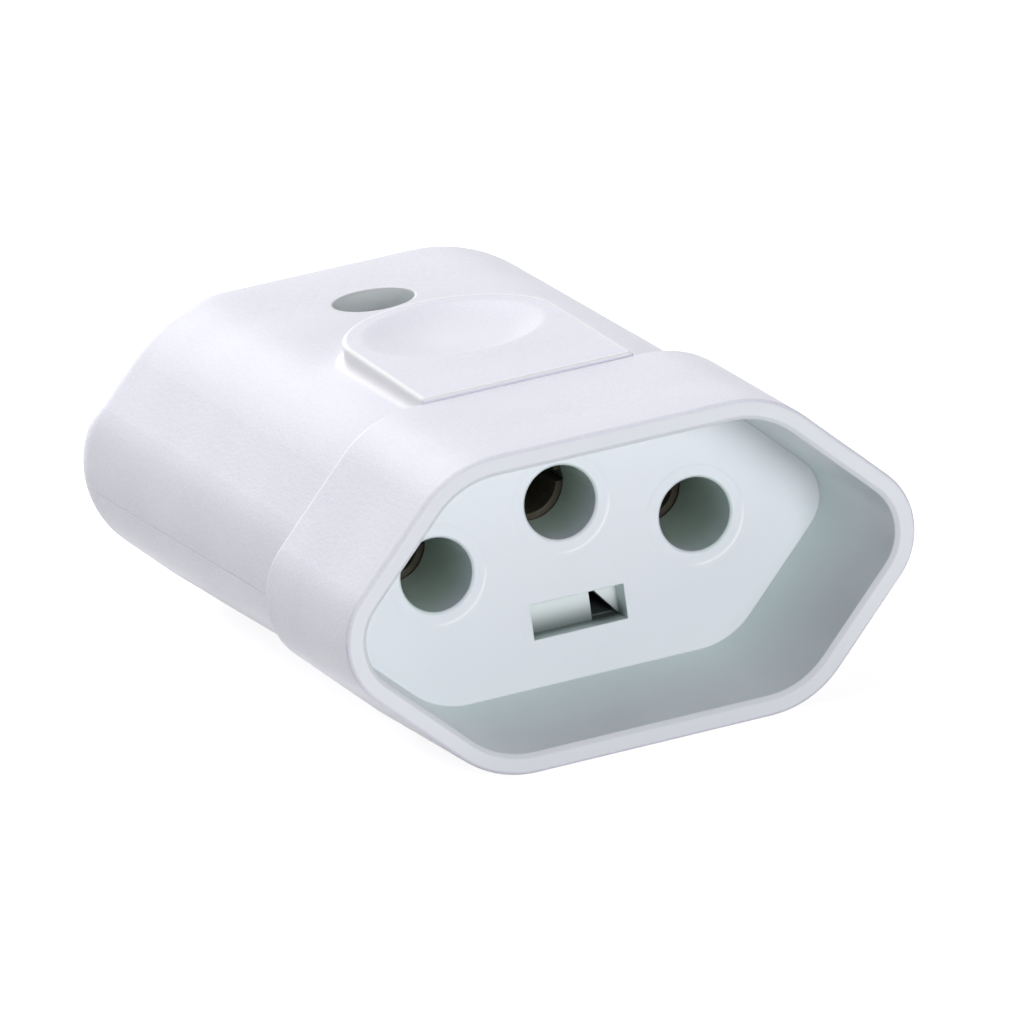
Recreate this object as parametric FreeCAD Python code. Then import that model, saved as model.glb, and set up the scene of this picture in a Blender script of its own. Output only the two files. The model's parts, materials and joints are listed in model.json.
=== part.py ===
import FreeCAD, Part
import math
import os

# In-line three-pin power socket, in millimetres.
# The rim of the plug recess faces -Y, +X is to the right and +Z is up.
# Shapes are built with Y = 0 at the rim and Z = 0 at the mid-height of the rim.
# They are moved to the bottom centre of the whole part when they are written.

# Pin pattern
PIN_SPACING = 19.0
PIN_LINE_RISE = 0.25
EARTH_RISE = 3.0
PIN_BORE_RADIUS = 2.6
BORE_MOUTH_CHAMFER = 0.15
POWER_BORE_LENGTH = 9.6
EARTH_BORE_LENGTH = 6.5

# Collar, a hexagon with rounded corners, given by its corners before rounding
# Towards the rear its top and its slanting sides flare, and its underside stays level
COLLAR_HALF_WIDTH = 22.7
COLLAR_HALF_HEIGHT = 11.1
COLLAR_HALF_FLAT = 11.6
COLLAR_SIDE_RADIUS = 5.1
COLLAR_FLAT_RADIUS = 7.5
COLLAR_LENGTH = 15.9
COLLAR_FLARE = 0.3
COLLAR_REAR_CHAMFER = 0.25
RIM_OUTER_CHAMFER = 0.2
RIM_INNER_CHAMFER = 0.3

# Plug recess
RECESS_DEPTH = 12.7
RIM_WALL = 1.4
ROOT_WALL = 1.9
FACE_THICKNESS = 2.6

# Latch slot below the holes, a pocket with a three-cornered window in its floor
SLOT_WIDTH = 6.9
SLOT_HEIGHT = 2.5
SLOT_FROM_MIDDLE = 0.2
SLOT_DROP = 4.6
SLOT_DEPTH = 1.7
SLOT_WINDOW_WIDTH = 2.0

# Neck and flange that the two shells close round
NECK_WALL = 1.5
LIP_LENGTH = 2.0
LIP_HOLD = 0.9
FLANGE_LENGTH = 1.6
BOSS_WALL = 0.9

# Rear body, two shells that meet a little below mid-height
# In front it is a step smaller than the collar's rear edge, and it grows to the rim's outline before its end
OVERALL_LENGTH = 63.5
PARTING_DROP = 0.6
SHELL_STEP = 0.9
SHELL_WALL = 1.8
SHELL_FLAT_RADIUS = 10.8
END_RADIUS = 6.5
SIDE_OVER_END_RADIUS = 0.5
CAVITY_END_CHAMFER = 3.0
SEAM_WIDTH = 0.1
SEAM_DEPTH = 0.06
TONGUE_WIDTH = 0.7
TONGUE_HEIGHT = 0.9
CORD_INLET_RADIUS = 4.5
CORD_INLET_CHAMFER = 0.9

# Thumb pad on the upper shell, from the collar up to a round end behind its dimple
PAD_HALF_WIDTH = 7.75
PAD_OVER_COLLAR = 0.25
PAD_SLOPE_DEGREES = 2.3
PAD_EDGE_CHAMFER = 0.15
PAD_FOOT_RADIUS = 0.7
DIMPLE_FROM_COLLAR = 14.5
DIMPLE_RADIUS = 6.4
DIMPLE_DEPTH = 1.1
DIMPLE_RIM_ROUND = 1.0

# Closing screw
CLOSING_SCREW_FROM_REAR = 16.4
SCREW_RECESS_RADIUS = 2.95
SCREW_SEAT_HEIGHT = 3.0
SCREW_POST_WALL = 1.3
SCREW_SHANK_RADIUS = 1.5
SCREW_HEAD_HEIGHT = 2.2
SCREW_DEPTH = 7.0
LOWER_POST_RADIUS = 3.6

# Contacts and terminals
SLEEVE_BORE_RADIUS = 2.2
SLEEVE_WALL = 0.6
SLEEVE_LENGTH = 9.0
SLEEVE_SLIT = 0.8
SLEEVE_SLIT_LENGTH = 6.5
CHAMBER_LENGTH = 7.0
TAIL_WIDTH = 4.6
TAIL_THICKNESS = 0.8
TERMINAL_WIDTH = 6.4
TERMINAL_LENGTH = 7.0
TERMINAL_HEIGHT = 6.0
TERMINAL_GAP = 1.3
TERMINAL_EDGE = 0.4
WIRE_HOLE_RADIUS = 1.7
WIRE_OVER_TAIL = 1.3
TERMINAL_SCREW_RADIUS = 1.6
TERMINAL_HEAD_RADIUS = 2.5
TERMINAL_HEAD_HEIGHT = 1.6
CRADLE_THICKNESS = 1.6

# Cord clamp
CLAMP_HALF_SPAN = 12.2
CLAMP_WIDTH = 4.4
CLAMP_THICKNESS = 2.5
CLAMP_ARCH_RADIUS = 4.3
CLAMP_SEAT_HEIGHT = 0.6
CLAMP_SCREW_FROM_END = 2.7
CLAMP_SCREW_RADIUS = 1.4
CLAMP_SCREW_DEPTH = 6.0
CLAMP_HEAD_RADIUS = 2.5
CLAMP_HEAD_HEIGHT = 1.8
CLAMP_BOSS_RADIUS = 2.8
CLAMP_CORNER_ROUND = 1.1

# Drive of every screw
DRIVE_SLOT_WIDTH = 0.8
DRIVE_SLOT_DEPTH = 0.9
SCREW_HEAD_CHAMFER = 0.3

# Clearances
RUN_CLEARANCE = 0.3
FIT_CLEARANCE = 0.25
THREAD_CLEARANCE = 0.1
LEAST_RADIUS = 0.3

# Reach of the blocks that only trim other shapes
FAR = 4.0 * OVERALL_LENGTH

# Closeness at which two places count as the same
SMALL = 1e-4

# Places that follow from the sizes above
COLLAR_RUN = COLLAR_HALF_WIDTH - COLLAR_HALF_FLAT
FACE_REAR = RECESS_DEPTH + FACE_THICKNESS
SHELL_INSET = SHELL_STEP - COLLAR_FLARE
SLEEVE_RADIUS = SLEEVE_BORE_RADIUS + SLEEVE_WALL
WIRE_HEIGHT = TAIL_THICKNESS + WIRE_OVER_TAIL
CHAMBER_RADIUS = SLEEVE_RADIUS + RUN_CLEARANCE
BOSS_RADIUS = CHAMBER_RADIUS + BOSS_WALL
FLANGE_INSET = SHELL_WALL + FIT_CLEARANCE
LIP_INSET = FLANGE_INSET + LIP_HOLD
NECK_INSET = LIP_INSET + FIT_CLEARANCE
LIP_REAR = COLLAR_LENGTH + LIP_LENGTH
FLANGE_FRONT = LIP_REAR + FIT_CLEARANCE
FLANGE_REAR = FLANGE_FRONT + FLANGE_LENGTH
DOME_START = OVERALL_LENGTH - END_RADIUS
SHELL_SIDE_RADIUS = END_RADIUS + SIDE_OVER_END_RADIUS
PARTING = -PARTING_DROP
CLOSING_SCREW_Y = OVERALL_LENGTH - CLOSING_SCREW_FROM_REAR
SCREW_POST_RADIUS = SCREW_RECESS_RADIUS + SCREW_POST_WALL
CLAMP_Y = CLOSING_SCREW_Y + SCREW_POST_RADIUS + RUN_CLEARANCE + CLAMP_WIDTH / 2
CLAMP_SEAT = PARTING + CLAMP_SEAT_HEIGHT
CLAMP_SCREW_OFFSET = CLAMP_HALF_SPAN - CLAMP_SCREW_FROM_END

# The three ways: name, place of the hole and length of its bore
WAYS = (
    ("live", -PIN_SPACING / 2, PIN_LINE_RISE, POWER_BORE_LENGTH),
    ("neutral", PIN_SPACING / 2, PIN_LINE_RISE, POWER_BORE_LENGTH),
    ("earth", 0.0, PIN_LINE_RISE + EARTH_RISE, EARTH_BORE_LENGTH),
)

ACROSS = FreeCAD.Vector(1, 0, 0)
ALONG_Y = FreeCAD.Vector(0, 1, 0)
UP = FreeCAD.Vector(0, 0, 1)


def box(x_low, x_high, y_low, y_high, z_low, z_high):
    """A block between two corners."""
    corner = FreeCAD.Vector(x_low, y_low, z_low)
    return Part.makeBox(x_high - x_low, y_high - y_low, z_high - z_low, corner)


def rod(radius, length, start, axis):
    """A cylinder from its start point along an axis."""
    return Part.makeCylinder(radius, length, FreeCAD.Vector(*start), axis)


def edges_at_y(shape, y):
    """The edges of a shape that lie in the plane at y."""
    return [e for e in shape.Edges if all(abs(v.Y - y) < SMALL for v in e.Vertexes)
            and abs(mid_point(e).y - y) < SMALL]


def half_width(offset):
    """Half the rim's width over its sharp side corners, with every side moved in by offset."""
    side = math.hypot(COLLAR_RUN, COLLAR_HALF_HEIGHT)
    return COLLAR_HALF_WIDTH - offset * side / COLLAR_HALF_HEIGHT


def hexagon_corners(offset):
    """The rim's six sharp corners as (x, z), with every side moved in by offset."""
    width = half_width(offset)
    height = COLLAR_HALF_HEIGHT - offset
    flat = width - height * COLLAR_RUN / COLLAR_HALF_HEIGHT
    return [(width, 0), (flat, height), (-flat, height), (-width, 0), (-flat, -height), (flat, -height)]


def rhombus_corners(offset):
    """The corners as (x, z) where the rim's slanting sides would meet, with every side moved in by offset."""
    width = half_width(offset)
    height = width * COLLAR_HALF_HEIGHT / COLLAR_RUN
    return [(width, 0), (0, height), (-width, 0), (0, -height)]


def rounded_outline(y, corner_points, radii):
    """The closed wire at y round the given sharp corners, each rounded by its radius."""
    corners = [FreeCAD.Vector(x, y, z) for x, z in corner_points]
    count = len(corners)
    arcs = []
    for i, corner in enumerate(corners):
        to_last = (corners[i - 1] - corner).normalize()
        to_next = (corners[(i + 1) % count] - corner).normalize()
        half = to_last.getAngle(to_next) / 2
        radius = max(radii[i], LEAST_RADIUS)
        reach = radius / math.tan(half)
        inward = (to_last + to_next).normalize()
        middle = corner + inward * (radius / math.sin(half) - radius)
        arcs.append((corner + to_last * reach, middle, corner + to_next * reach))
    edges = []
    for i, (start, middle, end) in enumerate(arcs):
        edges.append(Part.Arc(start, middle, end).toShape())
        edges.append(Part.makeLine(end, arcs[(i + 1) % count][0]))
    return Part.Wire(edges)


def collar_wire(y, offset):
    """The rim's rounded hexagon at y, moved in by offset."""
    radii = [COLLAR_SIDE_RADIUS - offset, COLLAR_FLAT_RADIUS - offset, COLLAR_FLAT_RADIUS - offset] * 2
    return rounded_outline(y, hexagon_corners(offset), radii)


def collar_blank():
    """The solid collar: a loft of its slanting sides, trimmed to its top and underside, then rounded."""
    wires = []
    for y, offset in ((0, 0), (COLLAR_LENGTH, -COLLAR_FLARE)):
        radii = [COLLAR_SIDE_RADIUS - offset, LEAST_RADIUS - offset] * 2
        wires.append(rounded_outline(y, rhombus_corners(offset), radii))
    blank = Part.makeLoft(wires, True, True)
    height = COLLAR_HALF_HEIGHT
    rear = COLLAR_LENGTH
    profile = [(0, -height), (0, height), (rear, height + COLLAR_FLARE), (rear, -height), (0, -height)]
    slab = Part.Face(Part.makePolygon([FreeCAD.Vector(-FAR, y, z) for y, z in profile]))
    blank = blank.common(slab.extrude(ACROSS * (2 * FAR)))
    lengthwise = [e for e in blank.Edges if e.BoundBox.YLength > rear / 2]
    flat_edges = [e for e in lengthwise if abs(mid_point(e).z) > height / 2]
    return blank.makeFillet(COLLAR_FLAT_RADIUS, flat_edges)


def shell_wire(y, offset):
    """The rear body's section at y, moved in from the rim's by offset: the corners keep their centres."""
    radii = [SHELL_SIDE_RADIUS - offset, SHELL_FLAT_RADIUS - offset, SHELL_FLAT_RADIUS - offset] * 2
    return rounded_outline(y, hexagon_corners(offset), radii)


def shell_prism(y_low, y_high, inset):
    """A straight prism of the rear body's front outline moved in by inset."""
    face = Part.Face(shell_wire(y_low, SHELL_INSET + inset))
    return face.extrude(ALONG_Y * (y_high - y_low))


def rounded_form(inset):
    """The rear body with its taper and its rounded end, moved in by inset except at its front."""
    end = OVERALL_LENGTH - inset
    growth = SHELL_INSET * (end - COLLAR_LENGTH) / (DOME_START - COLLAR_LENGTH)
    front = shell_wire(COLLAR_LENGTH, SHELL_INSET + inset)
    form = Part.makeLoft([front, shell_wire(end, SHELL_INSET - growth + inset)], True, True)
    return form.makeFillet(END_RADIUS - inset, edges_at_y(form, end))


def cavity():
    """The space inside the rear body, behind the lip."""
    end = OVERALL_LENGTH - SHELL_WALL
    space = shell_prism(LIP_REAR, end, SHELL_WALL)
    return space.makeChamfer(CAVITY_END_CHAMFER, edges_at_y(space, end))


def front_moulding():
    """Collar, plug recess and socket face, with the chambers, neck and flange behind it, as one moulding."""
    recess = Part.makeLoft([collar_wire(0, RIM_WALL), collar_wire(RECESS_DEPTH, ROOT_WALL)], True, True)
    body = collar_blank().cut(recess)
    inner = [e for e in edges_at_y(body, 0) if not on_outline(e)]
    body = body.makeChamfer(RIM_INNER_CHAMFER, inner)
    outer = [e for e in edges_at_y(body, 0) if on_outline(e)]
    body = body.makeChamfer(RIM_OUTER_CHAMFER, outer)
    body = body.makeChamfer(COLLAR_REAR_CHAMFER, edges_at_y(body, COLLAR_LENGTH))
    body = body.fuse(shell_prism(COLLAR_LENGTH, FLANGE_REAR, NECK_INSET))
    body = body.fuse(shell_prism(FLANGE_FRONT, FLANGE_REAR, FLANGE_INSET))
    body = body.cut(shell_prism(FACE_REAR, FLANGE_REAR, NECK_INSET + NECK_WALL))
    for _, x, z, bore_length in WAYS:
        boss_end = RECESS_DEPTH + bore_length + CHAMBER_LENGTH
        body = body.fuse(rod(BOSS_RADIUS, boss_end - FACE_REAR, (x, FACE_REAR, z), ALONG_Y))
    for _, x, z, bore_length in WAYS:
        chamber_start = RECESS_DEPTH + bore_length
        body = body.cut(rod(PIN_BORE_RADIUS, bore_length, (x, RECESS_DEPTH, z), ALONG_Y))
        body = body.cut(rod(CHAMBER_RADIUS, CHAMBER_LENGTH, (x, chamber_start, z), ALONG_Y))
    mouths = [e for e in edges_at_y(body, RECESS_DEPTH) if is_circle(e, PIN_BORE_RADIUS)]
    body = body.makeChamfer(BORE_MOUTH_CHAMFER, mouths)
    return body.cut(latch_slot())


def mid_point(edge):
    """The point half-way along an edge."""
    return edge.valueAt((edge.FirstParameter + edge.LastParameter) / 2)


def on_outline(edge):
    """True where an edge at the rim lies on the collar's own outline and not on the recess's."""
    return Part.Vertex(mid_point(edge)).distToShape(collar_wire(0, 0))[0] < RIM_WALL / 2


def is_circle(edge, radius):
    """True for an edge on a circle of the given radius."""
    return isinstance(edge.Curve, Part.Circle) and abs(edge.Curve.Radius - radius) < SMALL


def latch_slot():
    """What is cut from the face for the slot: a pocket, and a window through its floor in one lower corner."""
    left = SLOT_FROM_MIDDLE - SLOT_WIDTH / 2
    right = SLOT_FROM_MIDDLE + SLOT_WIDTH / 2
    low = -SLOT_DROP - SLOT_HEIGHT / 2
    high = -SLOT_DROP + SLOT_HEIGHT / 2
    pocket = box(left, right, RECESS_DEPTH, RECESS_DEPTH + SLOT_DEPTH, low, high)
    split = right - SLOT_WINDOW_WIDTH
    corners = [(split, low), (right, low), (split, high), (split, low)]
    window = Part.Face(Part.makePolygon([FreeCAD.Vector(x, RECESS_DEPTH, z) for x, z in corners]))
    return pocket.fuse(window.extrude(ALONG_Y * FACE_THICKNESS))


def hollow_body():
    """The rear body before it is split, with its cavity, lip round the neck, seam and cord inlet."""
    body = rounded_form(0)
    inlet_depth = OVERALL_LENGTH - DOME_START
    body = body.cut(rod(CORD_INLET_RADIUS, inlet_depth, (0, DOME_START, PARTING), ALONG_Y))
    mouth = [e for e in edges_at_y(body, OVERALL_LENGTH) if is_circle(e, CORD_INLET_RADIUS)]
    body = body.makeChamfer(CORD_INLET_CHAMFER, mouth)
    body = body.cut(cavity())
    body = body.cut(shell_prism(COLLAR_LENGTH, LIP_REAR, LIP_INSET))
    low = PARTING - SEAM_WIDTH / 2
    rind = box(-FAR, FAR, COLLAR_LENGTH, FAR, low, low + SEAM_WIDTH).cut(rounded_form(SEAM_DEPTH))
    around_inlet = CORD_INLET_RADIUS + CORD_INLET_CHAMFER + SEAM_DEPTH
    rind = rind.cut(rod(around_inlet, FAR, (0, 0, PARTING), ALONG_Y))
    return body.cut(rind)


def tongue(clearance):
    """The ridge on the lower shell's edge that locates the upper one, or with clearance its groove."""
    ridge = shell_prism(LIP_REAR, DOME_START, SHELL_WALL - TONGUE_WIDTH - clearance)
    ridge = ridge.cut(shell_prism(LIP_REAR, DOME_START, SHELL_WALL))
    return ridge.common(box(-FAR, FAR, 0, FAR, PARTING, PARTING + TONGUE_HEIGHT + clearance))


def seated(shape):
    """Trims a rib or post that grows from the wall, so that it ends inside the wall."""
    return shape.common(shell_prism(COLLAR_LENGTH, DOME_START, SHELL_WALL / 2))


def thumb_pad():
    """The raised pad with its dimple, built level, then sloped and trimmed to the collar and the wall."""
    w = PAD_HALF_WIDTH
    depth = COLLAR_HALF_HEIGHT
    pad = box(-w, w, -depth, DIMPLE_FROM_COLLAR, -depth, 0)
    pad = pad.fuse(rod(w, depth, (0, DIMPLE_FROM_COLLAR, -depth), UP)).removeSplitter()
    top = max(pad.Faces, key=lambda face: face.CenterOfMass.z)
    pad = pad.makeChamfer(PAD_EDGE_CHAMFER, top.Edges)
    ball = (DIMPLE_RADIUS ** 2 + DIMPLE_DEPTH ** 2) / (2 * DIMPLE_DEPTH)
    centre = FreeCAD.Vector(0, DIMPLE_FROM_COLLAR, ball - DIMPLE_DEPTH)
    pad = pad.cut(Part.makeSphere(ball, centre, ACROSS))
    pad = pad.makeFillet(DIMPLE_RIM_ROUND, [e for e in pad.Edges if is_circle(e, DIMPLE_RADIUS)])
    start = FreeCAD.Vector(0, COLLAR_LENGTH, COLLAR_HALF_HEIGHT + COLLAR_FLARE + PAD_OVER_COLLAR)
    pad.Placement = FreeCAD.Placement(start, FreeCAD.Rotation(ACROSS, PAD_SLOPE_DEGREES))
    pad = pad.cut(box(-FAR, FAR, -FAR, COLLAR_LENGTH, -FAR, FAR))
    return pad.cut(shell_prism(COLLAR_LENGTH, DOME_START, SHELL_WALL / 2))


def lies_on(edge, shape):
    """True where the middle of an edge lies on a shape's surface."""
    return Part.Vertex(mid_point(edge)).distToShape(shape.Shells[0])[0] < SMALL


def soft_foot(shell, pad):
    """The upper shell with the sides and the round end of its thumb pad flowing into it."""
    outside = rounded_form(0)
    foot = [e for e in shell.Edges if lies_on(e, pad) and lies_on(e, outside)]
    foot = [e for e in foot if abs(mid_point(e).y - COLLAR_LENGTH) > SMALL]
    return shell.makeFillet(PAD_FOOT_RADIUS, foot)


def upper_shell(body):
    """Upper half of the rear body, with the thumb pad and the closing screw's recess and post."""
    shell = body.common(box(-FAR, FAR, 0, FAR, PARTING, FAR))
    shell = shell.cut(tongue(FIT_CLEARANCE))
    post = rod(SCREW_POST_RADIUS, FAR, (0, CLOSING_SCREW_Y, PARTING), UP)
    pad = thumb_pad()
    shell = shell.fuse(seated(post)).fuse(pad)
    seat = PARTING + SCREW_SEAT_HEIGHT
    shell = shell.cut(rod(SCREW_RECESS_RADIUS, FAR, (0, CLOSING_SCREW_Y, seat), UP))
    hole = SCREW_SHANK_RADIUS + RUN_CLEARANCE
    shell = shell.cut(rod(hole, SCREW_SEAT_HEIGHT, (0, CLOSING_SCREW_Y, PARTING), UP))
    return soft_foot(shell, pad)


def sleeve_front(bore_length):
    """Where a way's sleeve starts, just behind the end of its bore."""
    return RECESS_DEPTH + bore_length + RUN_CLEARANCE


def terminal_front(bore_length):
    """Where a way's terminal starts, behind its sleeve."""
    return sleeve_front(bore_length) + SLEEVE_LENGTH + TERMINAL_GAP


def lower_shell(body):
    """Lower half of the rear body, with the screw post, the terminals' cradle and the cord clamp's seat."""
    shell = body.common(box(-FAR, FAR, 0, FAR, -FAR, PARTING))
    shell = shell.fuse(tongue(0))
    post = rod(LOWER_POST_RADIUS, FAR + PARTING, (0, CLOSING_SCREW_Y, -FAR), UP)
    shell = shell.fuse(seated(post))
    for _, x, z, bore_length in WAYS:
        half = TERMINAL_WIDTH / 2
        front = terminal_front(bore_length) + (TERMINAL_LENGTH - CRADLE_THICKNESS) / 2
        wall = box(x - half, x + half, front, front + CRADLE_THICKNESS, -FAR, z - SLEEVE_RADIUS)
        shell = shell.fuse(seated(wall))
    saddle = box(-CLAMP_SCREW_OFFSET, CLAMP_SCREW_OFFSET, CLAMP_Y - CLAMP_WIDTH / 2,
                 CLAMP_Y + CLAMP_WIDTH / 2, -FAR, PARTING - CLAMP_SEAT_HEIGHT)
    saddle = saddle.cut(rod(CLAMP_ARCH_RADIUS, FAR, (0, 0, PARTING), ALONG_Y))
    shell = shell.fuse(seated(saddle))
    for x in (-CLAMP_SCREW_OFFSET, CLAMP_SCREW_OFFSET):
        boss = rod(CLAMP_BOSS_RADIUS, FAR + CLAMP_SEAT, (x, CLAMP_Y, -FAR), UP)
        shell = shell.fuse(seated(boss))
    pilot = SCREW_SHANK_RADIUS + THREAD_CLEARANCE
    depth = SCREW_DEPTH + THREAD_CLEARANCE
    shell = shell.cut(rod(pilot, depth, (0, CLOSING_SCREW_Y, PARTING - depth), UP))
    pilot = CLAMP_SCREW_RADIUS + THREAD_CLEARANCE
    depth = CLAMP_SCREW_DEPTH + THREAD_CLEARANCE
    for x in (-CLAMP_SCREW_OFFSET, CLAMP_SCREW_OFFSET):
        shell = shell.cut(rod(pilot, depth, (x, CLAMP_Y, CLAMP_SEAT - depth), UP))
    return shell


def contact(x, z, bore_length):
    """A spring sleeve, slit from its front, with a flat tail that runs back under its terminal."""
    start = sleeve_front(bore_length)
    sleeve = rod(SLEEVE_RADIUS, SLEEVE_LENGTH, (x, start, z), ALONG_Y)
    tail_end = terminal_front(bore_length) + TERMINAL_LENGTH
    low = z - SLEEVE_RADIUS
    tail_start = start + CHAMBER_LENGTH
    tail = box(x - TAIL_WIDTH / 2, x + TAIL_WIDTH / 2, tail_start, tail_end, low, low + TAIL_THICKNESS)
    shape = sleeve.fuse(tail)
    shape = shape.cut(rod(SLEEVE_BORE_RADIUS, SLEEVE_LENGTH, (x, start, z), ALONG_Y))
    slit = box(x - FAR, x + FAR, start, start + SLEEVE_SLIT_LENGTH, z - SLEEVE_SLIT / 2, z + SLEEVE_SLIT / 2)
    return shape.cut(slit)


def terminal(x, z, bore_length):
    """A brass block over a contact's tail, with a hole for the wire and one for its screw."""
    front = terminal_front(bore_length)
    low = z - SLEEVE_RADIUS
    half = TERMINAL_WIDTH / 2
    block = box(x - half, x + half, front, front + TERMINAL_LENGTH, low, low + TERMINAL_HEIGHT)
    uprights = [e for e in block.Edges if abs(e.BoundBox.ZLength - TERMINAL_HEIGHT) < SMALL]
    block = block.makeChamfer(TERMINAL_EDGE, uprights)
    half = TAIL_WIDTH / 2 + THREAD_CLEARANCE
    block = block.cut(box(x - half, x + half, front, front + TERMINAL_LENGTH, low, low + TAIL_THICKNESS))
    wire_z = low + WIRE_HEIGHT
    block = block.cut(rod(WIRE_HOLE_RADIUS, TERMINAL_LENGTH, (x, front, wire_z), ALONG_Y))
    hole = TERMINAL_SCREW_RADIUS + THREAD_CLEARANCE
    return block.cut(rod(hole, TERMINAL_HEIGHT, (x, front + TERMINAL_LENGTH / 2, wire_z), UP))


def slotted_screw(x, y, seat, depth, shank_radius, head_radius, head_height):
    """A screw with its head above its seat, a straight driving slot and a plain shank below."""
    top = seat + head_height
    screw = rod(head_radius, head_height, (x, y, seat), UP)
    rim = [e for e in screw.Edges if is_circle(e, head_radius) and abs(e.Curve.Center.z - top) < SMALL]
    screw = screw.makeChamfer(SCREW_HEAD_CHAMFER, rim)
    screw = screw.fuse(rod(shank_radius, depth, (x, y, seat - depth), UP))
    return screw.cut(box(x - DRIVE_SLOT_WIDTH / 2, x + DRIVE_SLOT_WIDTH / 2, y - head_radius, y + head_radius,
                         top - DRIVE_SLOT_DEPTH, top))


def terminal_screws():
    """The three terminal screws, run down to the middle of the wire's hole."""
    screws = []
    depth = TERMINAL_HEIGHT - WIRE_HEIGHT
    for _, x, z, bore_length in WAYS:
        top = z - SLEEVE_RADIUS + TERMINAL_HEIGHT
        y = terminal_front(bore_length) + TERMINAL_LENGTH / 2
        screws.append(slotted_screw(x, y, top, depth, TERMINAL_SCREW_RADIUS, TERMINAL_HEAD_RADIUS,
                                    TERMINAL_HEAD_HEIGHT))
    return Part.makeCompound(screws)


def closing_screw():
    """The screw that draws the two shells together."""
    depth = SCREW_SEAT_HEIGHT + SCREW_DEPTH
    head = SCREW_RECESS_RADIUS - FIT_CLEARANCE
    return slotted_screw(0, CLOSING_SCREW_Y, PARTING + SCREW_SEAT_HEIGHT, depth, SCREW_SHANK_RADIUS, head,
                         SCREW_HEAD_HEIGHT)


def cord_clamp():
    """The arched bar over the cord's path, on its two bosses."""
    y_low = CLAMP_Y - CLAMP_WIDTH / 2
    y_high = CLAMP_Y + CLAMP_WIDTH / 2
    low = CLAMP_SEAT
    bar = box(-CLAMP_HALF_SPAN, CLAMP_HALF_SPAN, y_low, y_high, low, low + CLAMP_THICKNESS)
    uprights = [e for e in bar.Edges if abs(e.BoundBox.ZLength - CLAMP_THICKNESS) < SMALL]
    bar = bar.makeFillet(CLAMP_CORNER_ROUND, uprights)
    arch = rod(CLAMP_ARCH_RADIUS + CLAMP_THICKNESS, CLAMP_WIDTH, (0, y_low, PARTING), ALONG_Y)
    bar = bar.fuse(arch.common(box(-FAR, FAR, y_low, y_high, low, FAR)))
    bar = bar.cut(rod(CLAMP_ARCH_RADIUS, CLAMP_WIDTH, (0, y_low, PARTING), ALONG_Y))
    for x in (-CLAMP_SCREW_OFFSET, CLAMP_SCREW_OFFSET):
        bar = bar.cut(rod(CLAMP_SCREW_RADIUS + RUN_CLEARANCE, CLAMP_THICKNESS, (x, CLAMP_Y, low), UP))
    return bar


def cord_clamp_screws():
    """The two screws of the cord clamp."""
    seat = CLAMP_SEAT + CLAMP_THICKNESS
    depth = CLAMP_THICKNESS + CLAMP_SCREW_DEPTH
    screws = [slotted_screw(x, CLAMP_Y, seat, depth, CLAMP_SCREW_RADIUS, CLAMP_HEAD_RADIUS, CLAMP_HEAD_HEIGHT)
              for x in (-CLAMP_SCREW_OFFSET, CLAMP_SCREW_OFFSET)]
    return Part.makeCompound(screws)


def all_parts():
    """Every piece of the socket by its node's name, in the building frame."""
    body = hollow_body()
    parts = {
        "front_moulding": front_moulding(),
        "upper_shell": upper_shell(body),
        "lower_shell": lower_shell(body),
    }
    for name, x, z, bore_length in WAYS:
        parts[name + "_contact"] = contact(x, z, bore_length)
        parts[name + "_terminal"] = terminal(x, z, bore_length)
    parts["terminal_screws"] = terminal_screws()
    parts["closing_screw"] = closing_screw()
    parts["cord_clamp"] = cord_clamp()
    parts["cord_clamp_screws"] = cord_clamp_screws()
    return parts


def main():
    """Writes each piece, moved so that the origin is the bottom centre of the whole part."""
    os.makedirs("parts", exist_ok=True)
    to_base = FreeCAD.Vector(0, -OVERALL_LENGTH / 2, COLLAR_HALF_HEIGHT)
    for name, shape in all_parts().items():
        shape = shape.removeSplitter()
        shape.translate(to_base)
        shape.exportStep("parts/" + name + ".step")
        print(name, len(shape.Solids), shape.isValid(), round(shape.Volume, 1))


main()
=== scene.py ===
import json
import logging
import math
from dataclasses import dataclass
from enum import Enum

import bmesh
import bpy
from mathutils import Matrix, Vector


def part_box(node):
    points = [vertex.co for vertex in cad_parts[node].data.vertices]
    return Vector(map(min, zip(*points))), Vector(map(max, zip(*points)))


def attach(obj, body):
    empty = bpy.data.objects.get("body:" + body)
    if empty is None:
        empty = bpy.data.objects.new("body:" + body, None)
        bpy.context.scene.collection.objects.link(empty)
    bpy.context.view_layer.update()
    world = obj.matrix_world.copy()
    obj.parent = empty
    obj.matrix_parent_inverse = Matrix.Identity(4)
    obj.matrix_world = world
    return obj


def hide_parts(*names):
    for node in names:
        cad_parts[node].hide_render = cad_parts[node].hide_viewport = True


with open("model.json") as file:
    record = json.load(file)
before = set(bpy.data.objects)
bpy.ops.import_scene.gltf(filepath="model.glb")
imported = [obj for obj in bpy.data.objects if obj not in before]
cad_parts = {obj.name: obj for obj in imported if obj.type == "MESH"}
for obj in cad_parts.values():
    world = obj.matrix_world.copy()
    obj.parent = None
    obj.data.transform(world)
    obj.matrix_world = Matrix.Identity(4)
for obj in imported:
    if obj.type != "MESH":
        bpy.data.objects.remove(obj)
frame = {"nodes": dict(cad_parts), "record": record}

LOG = logging.getLogger("power_socket")
MM = 0.001
RIM_MID_HEIGHT = 11.1 * MM
RECESS_DEPTH = 12.7 * MM
OVAL_SHARE = 0.45
IMAGE_PIXELS = 1024
MERGE_REACH = 1e-6
WHITE = (1.0, 1.0, 1.0, 1.0)
BLACK = (0.0, 0.0, 0.0, 1.0)
SEEN_FROM_ABOVE = (1.0, 1.0, 0.0)
SEEN_FROM_FRONT = (1.0, 0.0, 1.0)
UP = (0.0, 0.0, 1.0)
DOWN = (0.0, 0.0, -1.0)
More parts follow.
